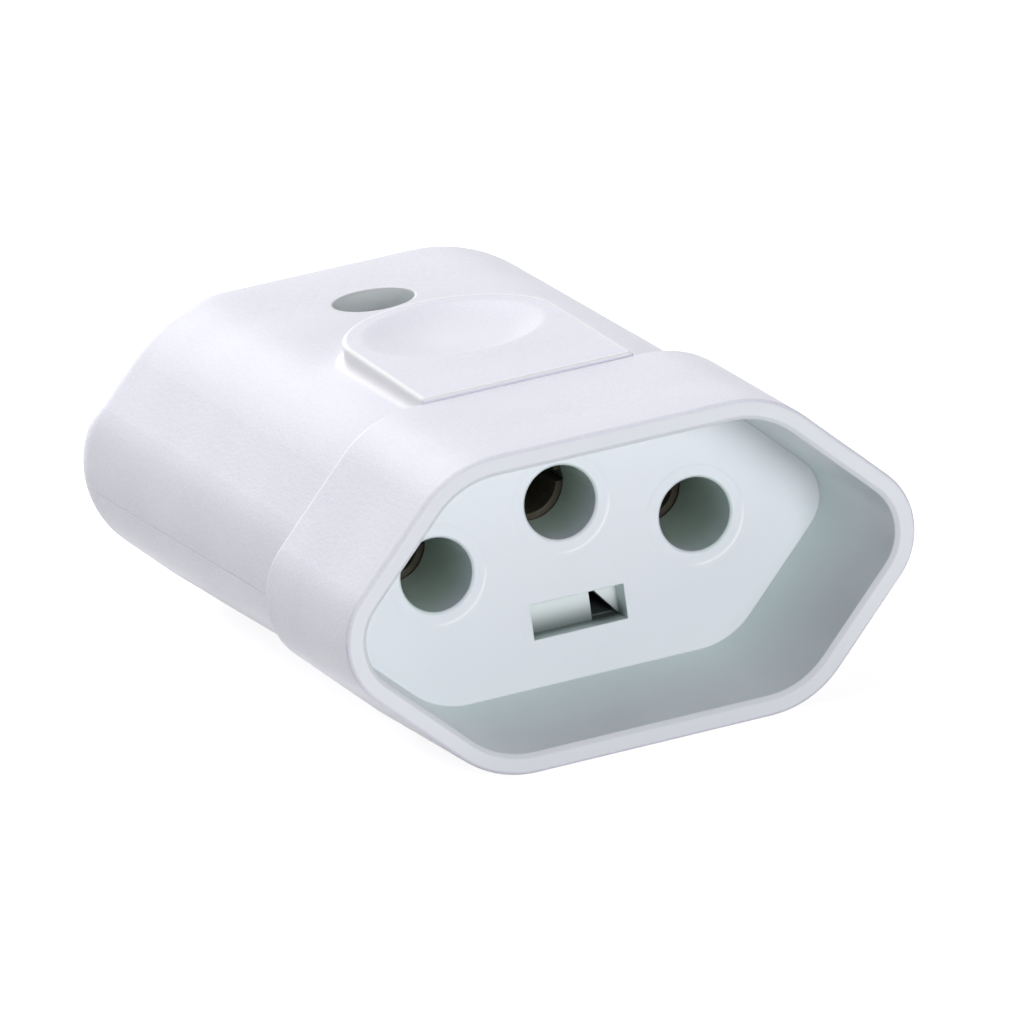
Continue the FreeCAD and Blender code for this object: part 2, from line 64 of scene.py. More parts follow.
Triple = tuple[float, float, float]
Colour = Triple
Span = tuple[float, float]
Socket = bpy.types.NodeSocket
Value = float | tuple[float, ...] | Socket


class Slot(Enum):
    """The record's material slots."""

    FACE = "face_plastic"
    SHELL = "shell_plastic"
    BRASS = "contact_brass"
    STEEL = "screw_steel"
    CLAMP = "clamp_plastic"


class Effect(Enum):
    """The shader groups that more than one finish uses."""

    GRAIN = "mould_grain"
    EDGES = "soft_edges"
    DRIFT = "tone_drift"
    SCRATCHES = "fine_scratches"


@dataclass
class Graph:
    """A node tree with short calls that add nodes and join them."""

    tree: bpy.types.NodeTree

    def add(
        self, kind: str, inputs: dict[str | int, Value] | None = None, **settings: object
    ) -> bpy.types.Node:
        """Adds a node.

        Args:
            kind: The node's Blender type.
            inputs: Values or sockets for its inputs, by name or number.
            **settings: The node's own settings.

        Returns:
            The new node.
        """
        node = self.tree.nodes.new(kind)
        for name, value in settings.items():
            setattr(node, name, value)
        for key, value in (inputs or {}).items():
            self.feed(node.inputs[key], value)
        return node

    def feed(self, socket: Socket, value: Value) -> None:
        """Sets an input to a plain value, or joins another node's output to it.

        Args:
            socket: The input.
            value: The plain value or the output.
        """
        if isinstance(value, Socket):
            self.tree.links.new(value, socket)
        else:
            socket.default_value = value

    def sum_up(self, operation: str, *values: Value) -> Socket:
        """Adds a Math node on these values and gives its output."""
        node = self.add("ShaderNodeMath", dict(enumerate(values)), operation=operation)
        return node.outputs[0]

    def vector(self, operation: str, *values: Value) -> Socket:
        """Adds a Vector Math node on these values and gives its vector."""
        node = self.add("ShaderNodeVectorMath", dict(enumerate(values)), operation=operation)
        return node.outputs["Vector"]

    def measure(self, operation: str, *values: Value) -> Socket:
        """Adds a Vector Math node on these values and gives its number."""
        node = self.add("ShaderNodeVectorMath", dict(enumerate(values)), operation=operation)
        return node.outputs["Value"]

    def parts(self, vector: Value) -> list[Socket]:
        """Splits a vector and gives its three numbers."""
        return list(self.add("ShaderNodeSeparateXYZ", {0: vector}).outputs)

    def offset(self, place: Value, centre: Value, kept: Triple) -> Socket:
        """The way from a centre to a place, along the kept axes alone."""
        return self.vector("MULTIPLY", self.vector("SUBTRACT", place, centre), kept)

    def reach(self, across: Value, along: Value) -> Socket:
        """The length of the way that goes so far across and so far along."""
        both = self.add("ShaderNodeCombineXYZ", {0: across, 1: along})
        return self.measure("LENGTH", both.outputs[0])

    def ramp(self, value: Value, low: float, high: float, to_low: float, to_high: float) -> Socket:
        """Maps a value smoothly from one range to another.

        Args:
            value: The value.
            low: Where its range starts.
            high: Where its range ends.
            to_low: What the start becomes.
            to_high: What the end becomes.

        Returns:
            The mapped value.
        """
        inputs = {"Value": value, "From Min": low, "From Max": high}
        inputs |= {"To Min": to_low, "To Max": to_high}
        node = self.add("ShaderNodeMapRange", inputs, interpolation_type="SMOOTHSTEP")
        return node.outputs["Result"]

    def grow(self, value: Value, start: float, end: float) -> Socket:
        """A mask that is 0 below the start and 1 above the end."""
        return self.ramp(value, start, end, 0.0, 1.0)

    def fade(self, value: Value, start: float, end: float) -> Socket:
        """A mask that is 1 below the start and 0 above the end."""
        return self.ramp(value, start, end, 1.0, 0.0)

    def mean(self, first: Value, second: Value) -> Socket:
        """Adds nodes for the mean of two values and gives the output."""
        return self.sum_up("MULTIPLY", self.sum_up("ADD", first, second), 0.5)

    def blend(self, factor: Value, first: Value, second: Value) -> Socket:
        """Mixes two colours.

        Args:
            factor: The share of the second colour.
            first: The first colour.
            second: The second colour.

        Returns:
            The mixed colour.
        """
        node = self.add("ShaderNodeMix", data_type="RGBA")
        self.feed(node.inputs["Factor"], factor)
        for socket, colour in zip(node.inputs[6:8], (first, second), strict=True):
            self.feed(socket, colour if isinstance(colour, Socket) else (*colour, 1.0))
        return node.outputs[2]

    def group(self, effect: Effect, inputs: dict[str | int, Value]) -> bpy.types.Node:
        """Places one of the shared effects.

        Args:
            effect: Which effect it is.
            inputs: Values or sockets for its inputs, by name.

        Returns:
            The group's node.
        """
        node = self.add("ShaderNodeGroup", node_tree=bpy.data.node_groups[effect.value])
        for key, value in inputs.items():
            self.feed(node.inputs[key], value)
        return node


@dataclass(frozen=True)
class SharedEffects:
    """Builds the shader groups that the finishes share."""

    edge_samples: int = 6
    edge_likeness: Span = (0.85, 0.98)
    peak_heights: Span = (0.35, 0.65)
    drift_values: Span = (0.3, 0.7)
    soft_detail: float = 1.0
    line_detail: float = 4.0

    def build(self) -> None:
        """Makes every group once."""
        self._grain()
        self._edges()
        self._drift()
        self._scratches()

    @staticmethod
    def _start(
        effect: Effect, inputs: dict[str, str], outputs: dict[str, str]
    ) -> tuple[Graph, bpy.types.Node, bpy.types.Node]:
        """Starts a group.

        Args:
            effect: Which effect it is.
            inputs: Names and socket types of its inputs.
            outputs: Names and socket types of its outputs.

        Returns:
            The group's graph, its input node and its output node.
        """
        tree = bpy.data.node_groups.new(effect.value, "ShaderNodeTree")
        for name, kind in inputs.items():
            tree.interface.new_socket(name, in_out="INPUT", socket_type=kind)
        for name, kind in outputs.items():
            tree.interface.new_socket(name, in_out="OUTPUT", socket_type=kind)
        graph = Graph(tree)
        return graph, graph.add("NodeGroupInput"), graph.add("NodeGroupOutput")

    @staticmethod
    def _noise(graph: Graph, place: Value, fineness: Value, detail: float) -> Socket:
        """Adds a noise of this fineness and detail and gives its value."""
        inputs = {"Vector": place, "Scale": fineness, "Detail": detail}
        return graph.add("ShaderNodeTexNoise", inputs).outputs["Fac"]

    def _grain(self) -> None:
        """The pitted grain of a spark-eroded mould, as a height and a mask of its peaks."""
        graph, given, out = self._start(
            Effect.GRAIN,
            {"Vector": "NodeSocketVector", "Fineness": "NodeSocketFloat"},
            {"Height": "NodeSocketFloat", "Peak": "NodeSocketFloat"},
        )
        place, fineness = given.outputs["Vector"], given.outputs["Fineness"]
        noise = self._noise(graph, place, fineness, self.soft_detail)
        graph.feed(out.inputs["Height"], noise)
        graph.feed(out.inputs["Peak"], graph.grow(noise, *self.peak_heights))

    def _edges(self) -> None:
        """The small rounding of moulded and pressed edges, as a normal and a mask of them."""
        graph, given, out = self._start(
            Effect.EDGES,
            {"Radius": "NodeSocketFloat"},
            {"Normal": "NodeSocketVector", "Edge": "NodeSocketFloat"},
        )
        inputs = {"Radius": given.outputs["Radius"]}
        rounded = graph.add("ShaderNodeBevel", inputs, samples=self.edge_samples).outputs["Normal"]
        flat = graph.add("ShaderNodeNewGeometry").outputs["Normal"]
        likeness = graph.measure("DOT_PRODUCT", rounded, flat)
        graph.feed(out.inputs["Normal"], rounded)
        graph.feed(out.inputs["Edge"], graph.fade(likeness, *self.edge_likeness))

    def _drift(self) -> None:
        """Slow changes of tone over a surface, as a value from 0 to 1."""
        graph, given, out = self._start(
            Effect.DRIFT,
            {"Vector": "NodeSocketVector", "Fineness": "NodeSocketFloat"},
            {"Tone": "NodeSocketFloat"},
        )
        place, fineness = given.outputs["Vector"], given.outputs["Fineness"]
        noise = self._noise(graph, place, fineness, self.soft_detail)
        graph.feed(out.inputs["Tone"], graph.grow(noise, *self.drift_values))

    def _scratches(self) -> None:
        """Fine drawn lines in metal, as a height."""
        graph, given, out = self._start(
            Effect.SCRATCHES,
            {
                "Vector": "NodeSocketVector",
                "Fineness": "NodeSocketFloat",
                "Stretch": "NodeSocketVector",
            },
            {"Height": "NodeSocketFloat"},
        )
        drawn = graph.vector("MULTIPLY", given.outputs["Vector"], given.outputs["Stretch"])
        noise = self._noise(graph, drawn, given.outputs["Fineness"], self.line_detail)
        graph.feed(out.inputs["Height"], noise)


@dataclass(frozen=True, kw_only=True)
class MouldedPlastic:
    """A plastic with a spark-eroded satin surface."""

    name: str
    colour: Colour
    shade: Colour
    roughness: float
    grain: float
    grain_height: float
    edge_radius: float
    drift_fineness: float = 90.0
    peak_polish: float = 0.08

    def build(self) -> bpy.types.Material:
        """Makes the material.

        Returns:
            The material.
        """
        material, graph, shader, place = start_material(self.name)
        grain = graph.group(Effect.GRAIN, {"Vector": place, "Fineness": 1.0 / self.grain})
        drift = graph.group(Effect.DRIFT, {"Vector": place, "Fineness": self.drift_fineness})
        edges = graph.group(Effect.EDGES, {"Radius": self.rounding(graph, place)})
        plain = self.mottle(graph, drift.outputs["Tone"], grain.outputs["Peak"])
        tone = self.tint(graph, place, edges.outputs["Edge"], plain)
        graph.feed(shader.inputs["Base Color"], tone)
        graph.feed(shader.inputs["Roughness"], self.gloss(graph, grain.outputs["Peak"]))
        add_relief(graph, shader, grain.outputs["Height"], self.grain_height, edges)
        return material

    def mottle(self, graph: Graph, tone: Value, peak: Value) -> Socket:
        """Mixes the two colours by the drift of tone and the grain's peaks."""
        return graph.blend(graph.mean(tone, peak), self.shade, self.colour)

    def gloss(self, graph: Graph, peak: Value) -> Socket:
        """The roughness, which is lower on the grain's peaks."""
        return graph.ramp(peak, 0.0, 1.0, self.roughness, self.roughness - self.peak_polish)

    def rounding(self, graph: Graph, place: Socket) -> Value:
        """The radius in metres that the edges seem to be rounded by, here the same all over."""
        return self.edge_radius

    def tint(self, graph: Graph, place: Socket, edge: Socket, tone: Socket) -> Socket:
        """Leaves the plain tone as it is, for finishes with nothing of their own to add."""
        return tone


@dataclass(frozen=True, kw_only=True)
class ShellPlastic(MouldedPlastic):
    """The shells' plastic, with painted highlights on its edges, seam and pad, painted shade in
    the joint and painted light in the screw's recess.
    """

    edge_highlight: Colour
    joint_place: float
    joint_height: float
    painted_joint_shade: Colour
    seam_height: float
    pad_width: float
    pad_length: float
    pad_height: float
    dimple_sheen_place: float
    dimple_sheen_radius: float
    dimple_sheen: float
    screw_place: Vector
    recess_radius: float
    painted_recess_light: Colour
    seam_fade: Span = (0.06 * MM, 0.1 * MM)
    seam_clearance: Span = (0.3 * MM, 0.8 * MM)
    joint_fade: Span = (0.02 * MM, 0.05 * MM)
    joint_softness: float = 0.03 * MM
    recess_fade: Span = (0.02 * MM, 0.1 * MM)
    rim_start: Span = (0.4 * MM, 0.25 * MM)
    rim_end: Span = (0.1 * MM, 0.6 * MM)
    lip_fade: Span = (0.2 * MM, 0.35 * MM)
    height_softness: float = 1.0 * MM

    def tint(self, graph: Graph, place: Socket, edge: Socket, tone: Socket) -> Socket:
        """Paints highlights on the edges, seam and pad, shade in the joint and light in the
        screw's recess.

        Args:
            graph: The material's graph.
            place: The surface's own coordinates.
            edge: The mask of the edges.
            tone: The plain tone.

        Returns:
            The changed tone.
        """
        across, along, height = graph.parts(place)
        seam = graph.fade(self._off_seam(graph, height), *self.seam_fade)
        # Painted highlights on the edges, along the seam and round the pad.
        light = graph.sum_up("MAXIMUM", edge, seam)
        light = graph.sum_up("MAXIMUM", light, self._pad_highlights(graph, across, along, height))
        tone = graph.blend(light, tone, self.edge_highlight)
        # Painted shade in the joint below the pad's lip.
        tone = graph.blend(self._joint_shade(graph, along, height), tone, self.painted_joint_shade)
        # Painted light in the screw's recess, paler than the rest of the shell.
        return graph.blend(self._recess_light(graph, place, height), tone, self.painted_recess_light)

    def rounding(self, graph: Graph, place: Socket) -> Value:
        """The radius in metres that the edges seem to be rounded by, none at the narrow seam."""
        off = self._off_seam(graph, graph.parts(place)[2])
        return graph.ramp(off, *self.seam_clearance, 0.0, self.edge_radius)

    def _off_seam(self, graph: Graph, height: Socket) -> Socket:
        """The distance in metres up or down from the seam."""
        return graph.sum_up("ABSOLUTE", graph.sum_up("SUBTRACT", height, self.seam_height))

    def _joint_shade(self, graph: Graph, along: Socket, height: Socket) -> Socket:
        """A mask of the painted shade on the front end that meets the collar, below the pad's lip.

        Args:
            graph: The material's graph.
            along: The place along the part.
            height: The height above the floor.

        Returns:
            The mask.
        """
        start, end = self.joint_fade
        front = graph.fade(along, self.joint_place + start, self.joint_place + end)
        low = self.joint_height - self.joint_softness
        high = self.joint_height + self.joint_softness
        return graph.sum_up("MULTIPLY", front, graph.fade(height, low, high))

    def _recess_light(self, graph: Graph, place: Socket, height: Socket) -> Socket:
        """A mask of the painted light in the closing screw's recess, above the seam.

        Args:
            graph: The material's graph.
            place: The surface's own coordinates.
            height: The height above the floor.

        Returns:
            The mask.
        """
        start, end = self.recess_fade
        reach = graph.measure("LENGTH", graph.offset(place, self.screw_place, SEEN_FROM_ABOVE))
        inside = graph.fade(reach, self.recess_radius + start, self.recess_radius + end)
        above = graph.grow(height, self.seam_height, self.seam_height + self.height_softness)
        return graph.sum_up("MULTIPLY", inside, above)

    def _pad_highlights(self, graph: Graph, across: Socket, along: Socket, height: Socket) -> Socket:
        """A mask of the painted highlights on the thumb pad's front lip, sides, round end and
        foot, and of the painted sheen in its dimple.

        Args:
            graph: The material's graph.
            across: The place across the part.
            along: The place along the part.
            height: The height above the floor.

        Returns:
            The mask.
        """
        # A painted sheen, paler in the middle of the dimple.
        reach = graph.reach(across, graph.sum_up("SUBTRACT", along, self.dimple_sheen_place))
        sheen_patch = graph.ramp(reach, 0.0, self.dimple_sheen_radius, self.dimple_sheen, 0.0)
        past = graph.sum_up("SUBTRACT", along, self.joint_place + self.pad_length)
        out = graph.reach(across, graph.sum_up("MAXIMUM", past, 0.0))
        start, end = self.rim_start
        begun = graph.grow(out, self.pad_width - start, self.pad_width - end)
        start, end = self.rim_end
        going = graph.fade(out, self.pad_width + start, self.pad_width + end)
        sides = graph.sum_up("MULTIPLY", begun, going)
        start, end = self.lip_fade
        lip = graph.fade(along, self.joint_place + start, self.joint_place + end)
        light = graph.sum_up("MAXIMUM", graph.sum_up("MAXIMUM", sides, lip), sheen_patch)
        high = graph.grow(height, self.pad_height - self.height_softness, self.pad_height)
        return graph.sum_up("MULTIPLY", light, high)


@dataclass(frozen=True, kw_only=True)
class FacePlastic:
    """The front moulding's plastic: satin outside the collar, smooth inside it, with painted shade
    on the recess's walls, in the holes and in the slot, and painted highlights round the holes.
    """

    name: str
    outside: MouldedPlastic
    colour: Colour
    shade: Colour
    painted_wall_shade: Colour
    painted_bore_shade: Colour
    roughness: float
    ripple: float
    ripple_height: float
    edge_radius: float
    face_place: float
    oval_width: float
    oval_height: float
    holes: tuple[Vector, ...]
    land_radius: float
    land_depth: float
    painted_land_highlight: Colour
    slot_top: float
    slot_bottom: float
    slot_depth: float
    painted_slot_shade: Colour
    drift_fineness: float = 120.0
    ripple_values: Span = (0.3, 0.7)
    ripple_polish: float = 0.02
    bore_fade: float = 4.0 * MM
    turned_out: Span = (1.0 * MM, 3.0 * MM)
    turned_back: Span = (0.3, 0.7)
    oval_edge: Span = (0.98, 1.02)
    land_line: Span = (0.04 * MM, 0.14 * MM)
    land_softness: float = 0.1 * MM
    land_down: Triple = (0.64, 0.0, -0.77)
    land_low: Span = (0.5, 0.95)

    def build(self) -> bpy.types.Material:
        """Makes the material.

        Returns:
            The material.
        """
        material, graph, shader, place = start_material(self.name)
        grain = graph.group(Effect.GRAIN, {"Vector": place, "Fineness": 1.0 / self.outside.grain})
        drift = graph.group(Effect.DRIFT, {"Vector": place, "Fineness": self.drift_fineness})
        ripple = graph.group(Effect.GRAIN, {"Vector": place, "Fineness": 1.0 / self.ripple})
        outer, walls = self._sides(graph, place)
        rounding = graph.ramp(outer, 0.0, 1.0, self.edge_radius, self.outside.edge_radius)
        edges = graph.group(Effect.EDGES, {"Radius": rounding})
        smooth = graph.blend(drift.outputs["Tone"], self.colour, self.shade)
        smooth = self._inside(graph, place, walls, smooth)
        satin = self.outside.mottle(graph, drift.outputs["Tone"], grain.outputs["Peak"])
        graph.feed(shader.inputs["Base Color"], graph.blend(outer, smooth, satin))
        low, high = self.roughness - self.ripple_polish, self.roughness + self.ripple_polish
        polished = graph.ramp(ripple.outputs["Height"], *self.ripple_values, low, high)
        rough = self.outside.gloss(graph, grain.outputs["Peak"])
        graph.feed(shader.inputs["Roughness"], self._either(graph, outer, polished, rough))
        fine = graph.sum_up("MULTIPLY", grain.outputs["Height"], self.outside.grain_height)
        wide = graph.sum_up("MULTIPLY", ripple.outputs["Height"], self.ripple_height)
        height = self._either(graph, outer, wide, fine)
        height = graph.sum_up("ADD", height, self._lands(graph, place))
        add_relief(graph, shader, height, 1.0, edges)
        return material

    @staticmethod
    def _either(graph: Graph, outer: Socket, inside: Socket, outside: Socket) -> Socket:
        """Gives the one value inside the collar and the other outside it."""
        step = graph.sum_up("SUBTRACT", outside, inside)
        return graph.sum_up("MULTIPLY_ADD", outer, step, inside)

    def _sides(self, graph: Graph, place: Socket) -> tuple[Socket, Socket]:
        """Masks of the walls that face away from the part's middle line and that face it.

        Args:
            graph: The material's graph.
            place: The surface's own coordinates.

        Returns:
            A mask of the collar's outer walls and its rear face, and one of the inner walls.
        """
        middle = graph.offset(place, (0.0, 0.0, RIM_MID_HEIGHT), SEEN_FROM_FRONT)
        facing = graph.add("ShaderNodeTexCoord").outputs["Normal"]
        away = graph.measure("DOT_PRODUCT", middle, facing)
        scale = (1.0 / self.oval_width, 0.0, 1.0 / self.oval_height)
        share = graph.measure("LENGTH", graph.vector("MULTIPLY", middle, scale))
        far = graph.grow(share, *self.oval_edge)
        outer = graph.sum_up("MULTIPLY", graph.grow(away, *self.turned_out), far)
        rearward = graph.grow(graph.parts(facing)[1], *self.turned_back)
        start, end = self.turned_out
        return graph.sum_up("MAXIMUM", outer, rearward), graph.fade(away, -end, -start)

    def _inside(self, graph: Graph, place: Socket, walls: Socket, tone: Socket) -> Socket:
        """Paints shade on the recess's walls, in the holes and in the slot, and highlights round
        the holes.

        Args:
            graph: The material's graph.
            place: The surface's own coordinates.
            walls: The mask of the inner walls.
            tone: The plain tone.

        Returns:
            The changed tone.
        """
        along, height = graph.parts(place)[1:]
        recess = graph.grow(along, self.face_place - RECESS_DEPTH, self.face_place)
        # Painted shade on the recess's inner walls, darker and greener than the face.
        tone = graph.blend(graph.sum_up("MULTIPLY", walls, recess), tone, self.painted_wall_shade)
        # Painted shade in the holes, darker and greener from the face inwards.
        holes = graph.grow(along, self.face_place, self.face_place + self.bore_fade)
        tone = graph.blend(holes, tone, self.painted_bore_shade)
        # Painted shade in the slot, darker towards its bottom and deeper in.
        low = graph.fade(height, self.slot_bottom, self.slot_top)
        deep = graph.grow(along, self.face_place, self.face_place + self.slot_depth)
        tone = graph.blend(graph.sum_up("MULTIPLY", low, deep), tone, self.painted_slot_shade)
        # Painted highlights along the lower edge of the step round each hole.
        return graph.blend(self._land_highlights(graph, place), tone, self.painted_land_highlight)

    def _from_holes(self, graph: Graph, place: Socket) -> list[Socket]:
        """The way to the place from each hole's middle line."""
        return [graph.offset(place, hole, SEEN_FROM_FRONT) for hole in self.holes]

    def _land_highlights(self, graph: Graph, place: Socket) -> Socket:
        """A mask of the painted highlight along the lower edge of the step round each hole.

        Args:
            graph: The material's graph.
            place: The surface's own coordinates.

        Returns:
            The mask.
        """
        start, end = (share * self.land_radius for share in self.land_low)
        pale: Value = 0.0
        for offset in self._from_holes(graph, place):
            off = graph.sum_up("SUBTRACT", graph.measure("LENGTH", offset), self.land_radius)
            line = graph.fade(graph.sum_up("ABSOLUTE", off), *self.land_line)
            low = graph.grow(graph.measure("DOT_PRODUCT", offset, self.land_down), start, end)
            pale = graph.sum_up("MAXIMUM", pale, graph.sum_up("MULTIPLY", line, low))
        return pale

    def _lands(self, graph: Graph, place: Socket) -> Socket:
        """A height that steps down round each hole, where the mould's core pin sat.

        Args:
            graph: The material's graph.
            place: The surface's own coordinates.

        Returns:
            The height in metres.
        """
        start = self.land_radius - self.land_softness
        end = self.land_radius + self.land_softness
        height: Value = self.land_depth
        for offset in self._from_holes(graph, place):
            step = graph.grow(graph.measure("LENGTH", offset), start, end)
            height = graph.sum_up("MULTIPLY", height, step)
        return height


@dataclass(frozen=True, kw_only=True)
class DrawnMetal:
    """A metal with drawn scratches and a tone that drifts between two colours."""

    name: str
    colour: Colour
    shade: Colour
    roughness: float
    scratch: float
    scratch_height: float
    stretch: Triple
    edge_radius: float
    metallic: float = 1.0
    drift_fineness: float = 400.0
    scratch_values: Span = (0.3, 0.7)
    scratch_polish: float = 0.08

    def build(self) -> bpy.types.Material:
        """Makes the material.

        Returns:
            The material.
        """
        material, graph, shader, place = start_material(self.name)
        shader.inputs["Metallic"].default_value = self.metallic
        lines = graph.group(
            Effect.SCRATCHES,
            {"Vector": place, "Fineness": 1.0 / self.scratch, "Stretch": self.stretch},
        )
        drift = graph.group(Effect.DRIFT, {"Vector": place, "Fineness": self.drift_fineness})
        edges = graph.group(Effect.EDGES, {"Radius": self.edge_radius})
        tone = graph.blend(drift.outputs["Tone"], self.colour, self.shade)
        graph.feed(shader.inputs["Base Color"], tone)
        low, high = self.roughness - self.scratch_polish, self.roughness + self.scratch_polish
        roughness = graph.ramp(lines.outputs["Height"], *self.scratch_values, low, high)
        graph.feed(shader.inputs["Roughness"], roughness)
        add_relief(graph, shader, lines.outputs["Height"], self.scratch_height, edges)
        return material


def start_material(name: str) -> tuple[bpy.types.Material, Graph, bpy.types.Node, Socket]:
    """Starts a material.

    Args:
        name: The material's name.

    Returns:
        The material, its graph, its shader and the surface's own coordinates.
    """
    material = bpy.data.materials.new(name)
    material.use_nodes = True
    graph = Graph(material.node_tree)
    shader = material.node_tree.nodes["Principled BSDF"]
    place = graph.add("ShaderNodeTexCoord").outputs["Object"]
    return material, graph, shader, place


def add_relief(
    graph: Graph, shader: bpy.types.Node, height: Value, depth: float, edges: bpy.types.Node
) -> None:
    """Gives a shader a fine relief on top of its soft edges.

    Args:
        graph: The material's graph.
        shader: The material's shader.
        height: The relief's height.
        depth: How many metres a height of 1 stands for.
        edges: The node of the soft edges.
    """
    inputs = {"Strength": 1.0, "Distance": depth, "Height": height}
    inputs |= {"Normal": edges.outputs["Normal"]}
    bump = graph.add("ShaderNodeBump", inputs)
    graph.feed(shader.inputs["Normal"], bump.outputs["Normal"])


def dress(piece: bpy.types.Object, material: bpy.types.Material) -> None:
    """Gives a piece its material.

    Args:
        piece: The piece.
        material: Its material.
    """
    piece.data.materials.clear()
    piece.data.materials.append(material)
    LOG.info("dressed %s", piece.name)


def let_go() -> None:
    """Leaves edit mode and deselects every object."""
    if bpy.context.object and bpy.context.object.mode != "OBJECT":
        bpy.ops.object.mode_set(mode="OBJECT")
    bpy.ops.object.select_all(action="DESELECT")


def take(*pieces: bpy.types.Object) -> None:
    """Selects these objects alone.

    Args:
        *pieces: The objects, the first of which becomes active.
    """
    let_go()
    for piece in pieces:
        piece.select_set(True)
    bpy.context.view_layer.objects.active = pieces[0]


def apply_modifier(piece: bpy.types.Object, kind: str, **settings: object) -> None:
    """Adds a modifier to a piece and applies it.

    Args:
        piece: The piece.
        kind: The modifier's Blender type.
        **settings: The modifier's own settings.
    """
    take(piece)
    modifier = piece.modifiers.new(kind.lower(), kind)
    for name, value in settings.items():
        setattr(modifier, name, value)
    bpy.ops.object.modifier_apply(modifier=modifier.name)


@dataclass
class ScrewSet:
    """Slotted screws with rolled threads that stand for the plain ones of one node."""

    node: str
    places: list[Vector]
    head_radius: float
    head_height: float
    shank_radius: float
    shank_length: float
    pitch: float
    slot_width: float = 0.8 * MM
    slot_depth: float = 0.9 * MM
    head_round: float = 0.35 * MM
    round_segments: int = 5
    thread_depth: float = 0.22 * MM
    spare_turns: int = 3
    sides: int = 48
    smooth_angle: float = 35.0

    def build(self) -> bpy.types.Object:
        """Models one screw, copies it to every place and joins the copies.

        Returns:
            The joined screws.
        """
        model = self._one()
        copies = []
        for place in self.places:
            take(model)
            bpy.ops.object.duplicate(linked=False)
            copy = bpy.context.object
            copy.location = place
            bpy.ops.object.transform_apply(location=True, rotation=False, scale=False)
            copies.append(copy)
        bpy.data.objects.remove(model)
        take(*copies)
        if len(copies) > 1:
            bpy.ops.object.join()
        piece = bpy.context.object
        piece.name = self.node + "_threaded"
        let_go()
        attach(piece, "root")
        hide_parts(self.node)
        return piece

    def _one(self) -> bpy.types.Object:
        """Models one screw.

        Returns:
            The screw at the origin, its head's seat at height 0.
        """
        head = self._head()
        shank = self._shank()
        take(head, shank)
        bpy.ops.object.join()
        bpy.ops.object.shade_smooth_by_angle(angle=math.radians(self.smooth_angle))
        return head

    def _head(self) -> bpy.types.Object:
        """Models the head, with a rounded top edge and its driving slot.

        Returns:
            The head, its seat at height 0.
        """
        let_go()
        bpy.ops.mesh.primitive_cylinder_add(
            vertices=self.sides,
            radius=self.head_radius,
            depth=self.head_height,
            location=(0.0, 0.0, self.head_height / 2),
        )
        head = bpy.context.object
        bpy.ops.object.transform_apply(location=True, rotation=False, scale=False)
        bpy.ops.object.mode_set(mode="EDIT")
        bpy.ops.mesh.select_mode(type="EDGE")
        bpy.ops.mesh.select_all(action="DESELECT")
        mesh = bmesh.from_edit_mesh(head.data)
        for edge in mesh.edges:
            edge.select_set(all(corner.co.z > self.head_height / 2 for corner in edge.verts))
        bmesh.update_edit_mesh(head.data)
        bpy.ops.mesh.bevel(offset=self.head_round, segments=self.round_segments, affect="EDGES")
        bpy.ops.object.mode_set(mode="OBJECT")
        let_go()
        bpy.ops.mesh.primitive_cube_add(size=1.0, location=(0.0, 0.0, self.head_height))
        cutter = bpy.context.object
        cutter.scale = (self.slot_width, 4 * self.head_radius, 2 * self.slot_depth)
        bpy.ops.object.transform_apply(location=True, rotation=False, scale=True)
        apply_modifier(head, "BOOLEAN", object=cutter, operation="DIFFERENCE", solver="EXACT")
        bpy.data.objects.remove(cutter)
        return head

    def _shank(self) -> bpy.types.Object:
        """Models the shank: one tooth turned into a thread and closed at both ends.

        Returns:
            The shank, its top at height 0.
        """
        root = self.shank_radius - self.thread_depth
        let_go()
        bpy.ops.mesh.primitive_plane_add(size=1.0)
        shank = bpy.context.object
        bpy.ops.object.mode_set(mode="EDIT")
        bpy.ops.mesh.select_mode(type="VERT")
        mesh = bmesh.from_edit_mesh(shank.data)
        mesh.verts.ensure_lookup_table()
        tooth = {
            0: (root, 0.0, 0.0),
            1: (self.shank_radius, 0.0, self.pitch / 2),
            3: (root, 0.0, self.pitch),
        }
        for number, place in tooth.items():
            mesh.verts[number].co = place
        for corner in mesh.verts:
            corner.select_set(corner.index not in tooth)
        bmesh.update_edit_mesh(shank.data)
        bpy.ops.mesh.delete(type="VERT")
        bpy.ops.object.mode_set(mode="OBJECT")
        turns = math.ceil(self.shank_length / self.pitch) + self.spare_turns
        apply_modifier(
            shank,
            "SCREW",
            angle=math.tau,
            screw_offset=self.pitch,
            iterations=turns,
            steps=self.sides // 2,
            render_steps=self.sides // 2,
            use_merge_vertices=True,
            merge_threshold=MERGE_REACH,
        )
        top = (turns - 1) * self.pitch
        self._trim(shank, top, UP)
        self._trim(shank, top - self.shank_length, DOWN)
        shank.location.z = -top
        bpy.ops.object.transform_apply(location=True, rotation=False, scale=False)
        return shank

    @staticmethod
    def _trim(piece: bpy.types.Object, height: float, away: Triple) -> None:
        """Cuts a piece off level at a height and closes the cut.

        Args:
            piece: The piece to cut.
            height: Where the cut is.
            away: The side that goes.
        """
        take(piece)
        bpy.ops.object.mode_set(mode="EDIT")
        bpy.ops.mesh.select_all(action="SELECT")
        bpy.ops.mesh.remove_doubles(threshold=MERGE_REACH)
        bpy.ops.mesh.bisect(
            plane_co=(0.0, 0.0, height), plane_no=away, use_fill=True, clear_outer=True
        )
        bpy.ops.mesh.select_all(action="SELECT")
        bpy.ops.mesh.normals_make_consistent(inside=False)
        bpy.ops.object.mode_set(mode="OBJECT")


